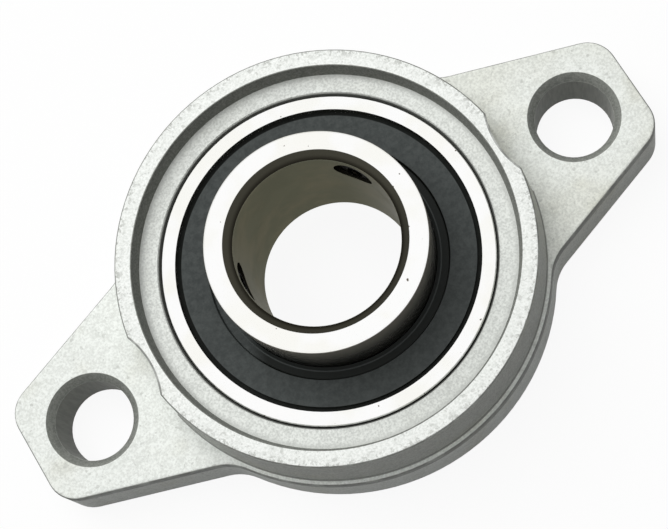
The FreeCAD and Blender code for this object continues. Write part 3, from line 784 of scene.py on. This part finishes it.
def seat(pattern, name, screw_name, finish):
    """Copy a piece, with its own mesh, onto a screw's axis."""
    tip, outward, _, _ = feed_line(screw_name)
    piece = pattern.copy()
    piece.data = pattern.data.copy()
    piece.name = name
    bpy.context.scene.collection.objects.link(piece)
    piece.matrix_world = Matrix.Translation(tip) @ outward.to_track_quat("Z", "Y").to_matrix().to_4x4()
    settle(piece)
    piece.data.materials.clear()
    piece.data.materials.append(finish)
    print(name, "seated with", len(piece.data.polygons), "faces")
    return piece


pick(core)
ridge.select_set(True)
bpy.ops.object.join()
bpy.ops.object.shade_smooth_by_angle(angle=SMOOTH_ANGLE)
for screw_name in SCREWS:
    screw = seat(core, screw_name + "_threaded", screw_name, black)
    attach(screw, screw_name)
    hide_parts(screw_name)
bpy.data.objects.remove(core)

# %% [markdown]
# ## The tapped holes
#
# The inner ring is tapped for the screws. A tapped thread is the same helix half a turn on: its ridge grows
# inwards from the wall of the hole and lies in the groove of the screw. Cutting it into the ring would
# change the CAD mesh, so it is a ridge of its own. It starts on the other side of the axis, which gives
# exactly that half turn, and it stays a little shorter than the hole.

# %% Tapped threads
HOLE_PLAY = 0.05 * MM
TAPPED_DEPTH = 0.38 * MM
TAPPED_HALF_WIDTH = 0.34 * MM
TURNS_SHORTER = 0.1
tapped_turns = screw_turns - TURNS_SHORTER
tapped = thread_ridge(-crest_radius - HOLE_PLAY, TAPPED_DEPTH, TAPPED_HALF_WIDTH, tapped_turns)
bpy.ops.object.shade_smooth_by_angle(angle=SMOOTH_ANGLE)
for number, screw_name in enumerate(SCREWS, start=1):
    thread = seat(tapped, "tapped_thread_%d" % number, screw_name, steel)
    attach(thread, "inner_race")
bpy.data.objects.remove(tapped)

# %% [markdown]
# ## White table and soft light
#
# The part lies on white, under one long softbox that hangs overhead and leans a little to the far left, so
# the flat tops are bright and the walls that face the viewer fall into shade. Table and room are white
# wherever they are looked at, directly or in a mirror, and light the part far less than they show. A share
# of the table is truly lit and carries the soft shadow of the part.

# %% White that is seen but hardly lights
WHITE = (1, 1, 1, 1)


def bare_tree(owner):
    """The emptied node tree of a material or world."""
    owner.use_nodes = True
    owner.node_tree.nodes.clear()
    return owner.node_tree


def seen_rays(tree):
    """One for rays from the camera, a mirror or glass, zero for rays that light the part."""
    rays = tree.nodes.new("ShaderNodeLightPath").outputs
    return Wire(rays["Is Camera Ray"]) + Wire(rays["Is Glossy Ray"]) + Wire(rays["Is Transmission Ray"])


print("seen rays: camera, mirror, glass")

# %% Table
TABLE_SIZE = 6.0
TABLE_GAP = 0.02 * MM
FLOOR_SHARE = 0.09
LIT_FLOOR = (0.9, 0.9, 0.9, 1)
DIM_FLOOR = (0.22, 0.22, 0.22, 1)
pick(None)
bpy.ops.mesh.primitive_plane_add(size=TABLE_SIZE, location=(0, 0, cad_low.z - TABLE_GAP))
table = settle(bpy.context.object)
table.name = "table"
white = bpy.data.materials.new("white_table")
tree = bare_tree(white)
seen = seen_rays(tree)
glow = seen.node("ShaderNodeEmission", None, {"Color": WHITE, "Strength": 1.0})
lit = seen.node("ShaderNodeBsdfDiffuse", None, {"Color": LIT_FLOOR})
dim = seen.node("ShaderNodeBsdfDiffuse", None, {"Color": DIM_FLOOR})
shown = seen.node("ShaderNodeMixShader", None, {0: FLOOR_SHARE, 1: glow, 2: lit})
surface = seen.node("ShaderNodeMixShader", None, {0: seen, 1: dim, 2: shown})
plug(tree.nodes.new("ShaderNodeOutputMaterial").inputs["Surface"], surface)
table.data.materials.append(white)
table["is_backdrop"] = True
print("table at", in_mm(table.data.vertices[0].co.z), "mm")

# %% Room
AMBIENT = 0.13
world = bpy.data.worlds.new("white_room")
bpy.context.scene.world = world
tree = bare_tree(world)
seen = seen_rays(tree)
backdrop = seen.node("ShaderNodeBackground", None, {"Color": WHITE, "Strength": 1.0})
ambient = seen.node("ShaderNodeBackground", None, {"Color": WHITE, "Strength": AMBIENT})
room = seen.node("ShaderNodeMixShader", None, {0: seen, 1: ambient, 2: backdrop})
plug(tree.nodes.new("ShaderNodeOutputWorld").inputs["Surface"], room)
print("white room, ambient strength", AMBIENT)

# %% Lamp
LAMP_DISTANCE = 0.55
LAMP_WIDTH = 0.42
LAMP_LENGTH = 0.75
LAMP_POWER = 3.75
lamp_direction = Vector((-0.12, 0.36, 0.92)).normalized()
bpy.ops.object.light_add(type="AREA", location=lamp_direction * LAMP_DISTANCE)
lamp = bpy.context.object
lamp.name = "softbox"
lamp.data.shape = "RECTANGLE"
lamp.data.size = LAMP_WIDTH
lamp.data.size_y = LAMP_LENGTH
lamp.data.energy = LAMP_POWER
lamp.rotation_euler = lamp_direction.to_track_quat("Z", "Y").to_euler()
lamp.visible_glossy = False
print("softbox", LAMP_POWER, "W at", [round(part, 3) for part in lamp.location], "m")

# %% [markdown]
# ## Camera
#
# The camera stands where the photographer stood: the edges of the rings and bolt holes, all of known size,
# fix its place, its turn and its lens. A small shift stands for a picture that was cropped on one side.

# %% Camera
PICTURE_WIDTH = 668
PICTURE_HEIGHT = 529
OPTICAL_CENTRE = (430.0, 285.0)
SENSOR_WIDTH = 36.0
LENS = 90.25
NEAREST = 0.01
EYE = Vector((2.918, -55.723, 209.782)) * MM
RIGHT = Vector((0.84571, -0.52458, -0.09792))
UP = Vector((0.53287, 0.82025, 0.20797))
bpy.ops.object.camera_add(location=EYE)
camera = bpy.context.object
camera.data.sensor_width = SENSOR_WIDTH
camera.data.lens = LENS
camera.data.shift_x = (PICTURE_WIDTH / 2 - OPTICAL_CENTRE[0]) / PICTURE_WIDTH
camera.data.shift_y = (OPTICAL_CENTRE[1] - PICTURE_HEIGHT / 2) / PICTURE_WIDTH
camera.data.clip_start = NEAREST
camera.rotation_euler = Matrix((RIGHT, UP, RIGHT.cross(UP))).transposed().to_euler()
bpy.context.scene.camera = camera
bpy.context.scene.view_settings.view_transform = "Standard"
print("camera shift", round(camera.data.shift_x, 4), round(camera.data.shift_y, 4))

# %% Measure
low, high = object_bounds()
print("visual box in mm:", in_mm(*(high - low)))
